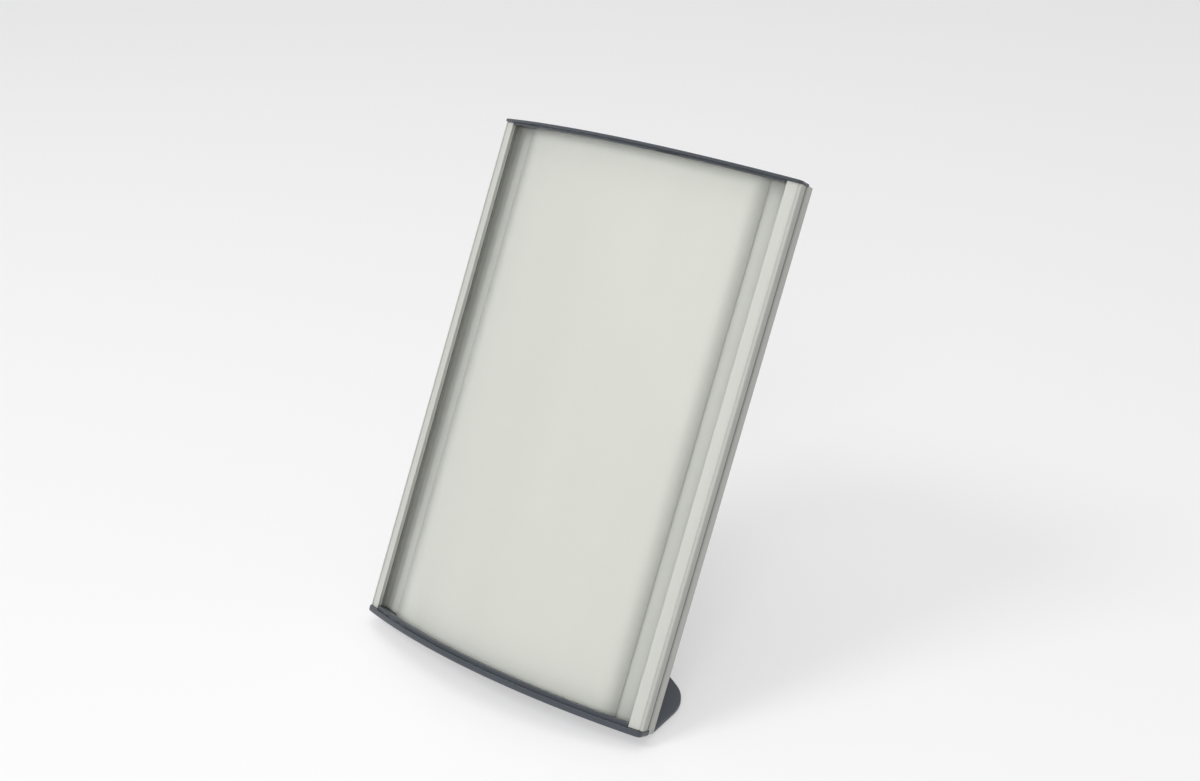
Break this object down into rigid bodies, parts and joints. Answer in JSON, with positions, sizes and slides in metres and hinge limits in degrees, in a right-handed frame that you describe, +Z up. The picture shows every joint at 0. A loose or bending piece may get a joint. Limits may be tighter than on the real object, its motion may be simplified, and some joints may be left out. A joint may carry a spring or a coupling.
{
  "type": "curved photo frame",
  "caption": "Curved free-standing photo frame: arched aluminium channel with a sliding glass pane, thin end caps and a bent foot that leans it back.",
  "frame": {"origin": "on the table, under the middle of the whole object's box", "axes": "+X to the right of someone facing the picture, -Y towards them, +Z up; the frame leans back towards +Y"},
  "size_m": [0.1046, 0.0892, 0.1504],
  "materials": {
    "anodised_aluminium": "matt anodised",
    "backing_aluminium": "matt anodised sheet",
    "foam": "open foam",
    "felt": "thin felt tape",
    "clear_glass": "clear",
    "cap_plastic": "fine satin moulding",
    "screw_steel": "zinc plated",
    "coated_steel": "powder coated",
    "pad_rubber": "matt"
  },
  "bodies": {
    "frame": {"profile": "anodised_aluminium", "backing_plate": "backing_aluminium", "left_foam_strip": "foam", "right_foam_strip": "foam", "left_felt_tape": "felt", "right_felt_tape": "felt", "bottom_cap": "cap_plastic", "cap_screws": "screw_steel", "foot": "coated_steel", "foot_screws": "screw_steel", "foot_washers": "screw_steel", "foot_pads": "pad_rubber"},
    "top_cap": {"top_cap": "cap_plastic"},
    "pane": {"curved_pane": "clear_glass"}
  },
  "joints": [
    {"name": "top_cap_lift", "type": "slide", "parent": "frame", "child": "top_cap", "axis": [0, 0.4563, 0.8898], "range_m": [0, 0.18]},
    {"name": "pane_slide", "type": "slide", "parent": "frame", "child": "pane", "axis": [0, 0.4563, 0.8898], "range_m": [0, 0.162]}
  ],
  "couplings": [
    {"joint": "pane_slide", "follows": "top_cap_lift", "ratio": 0.9}
  ]
}
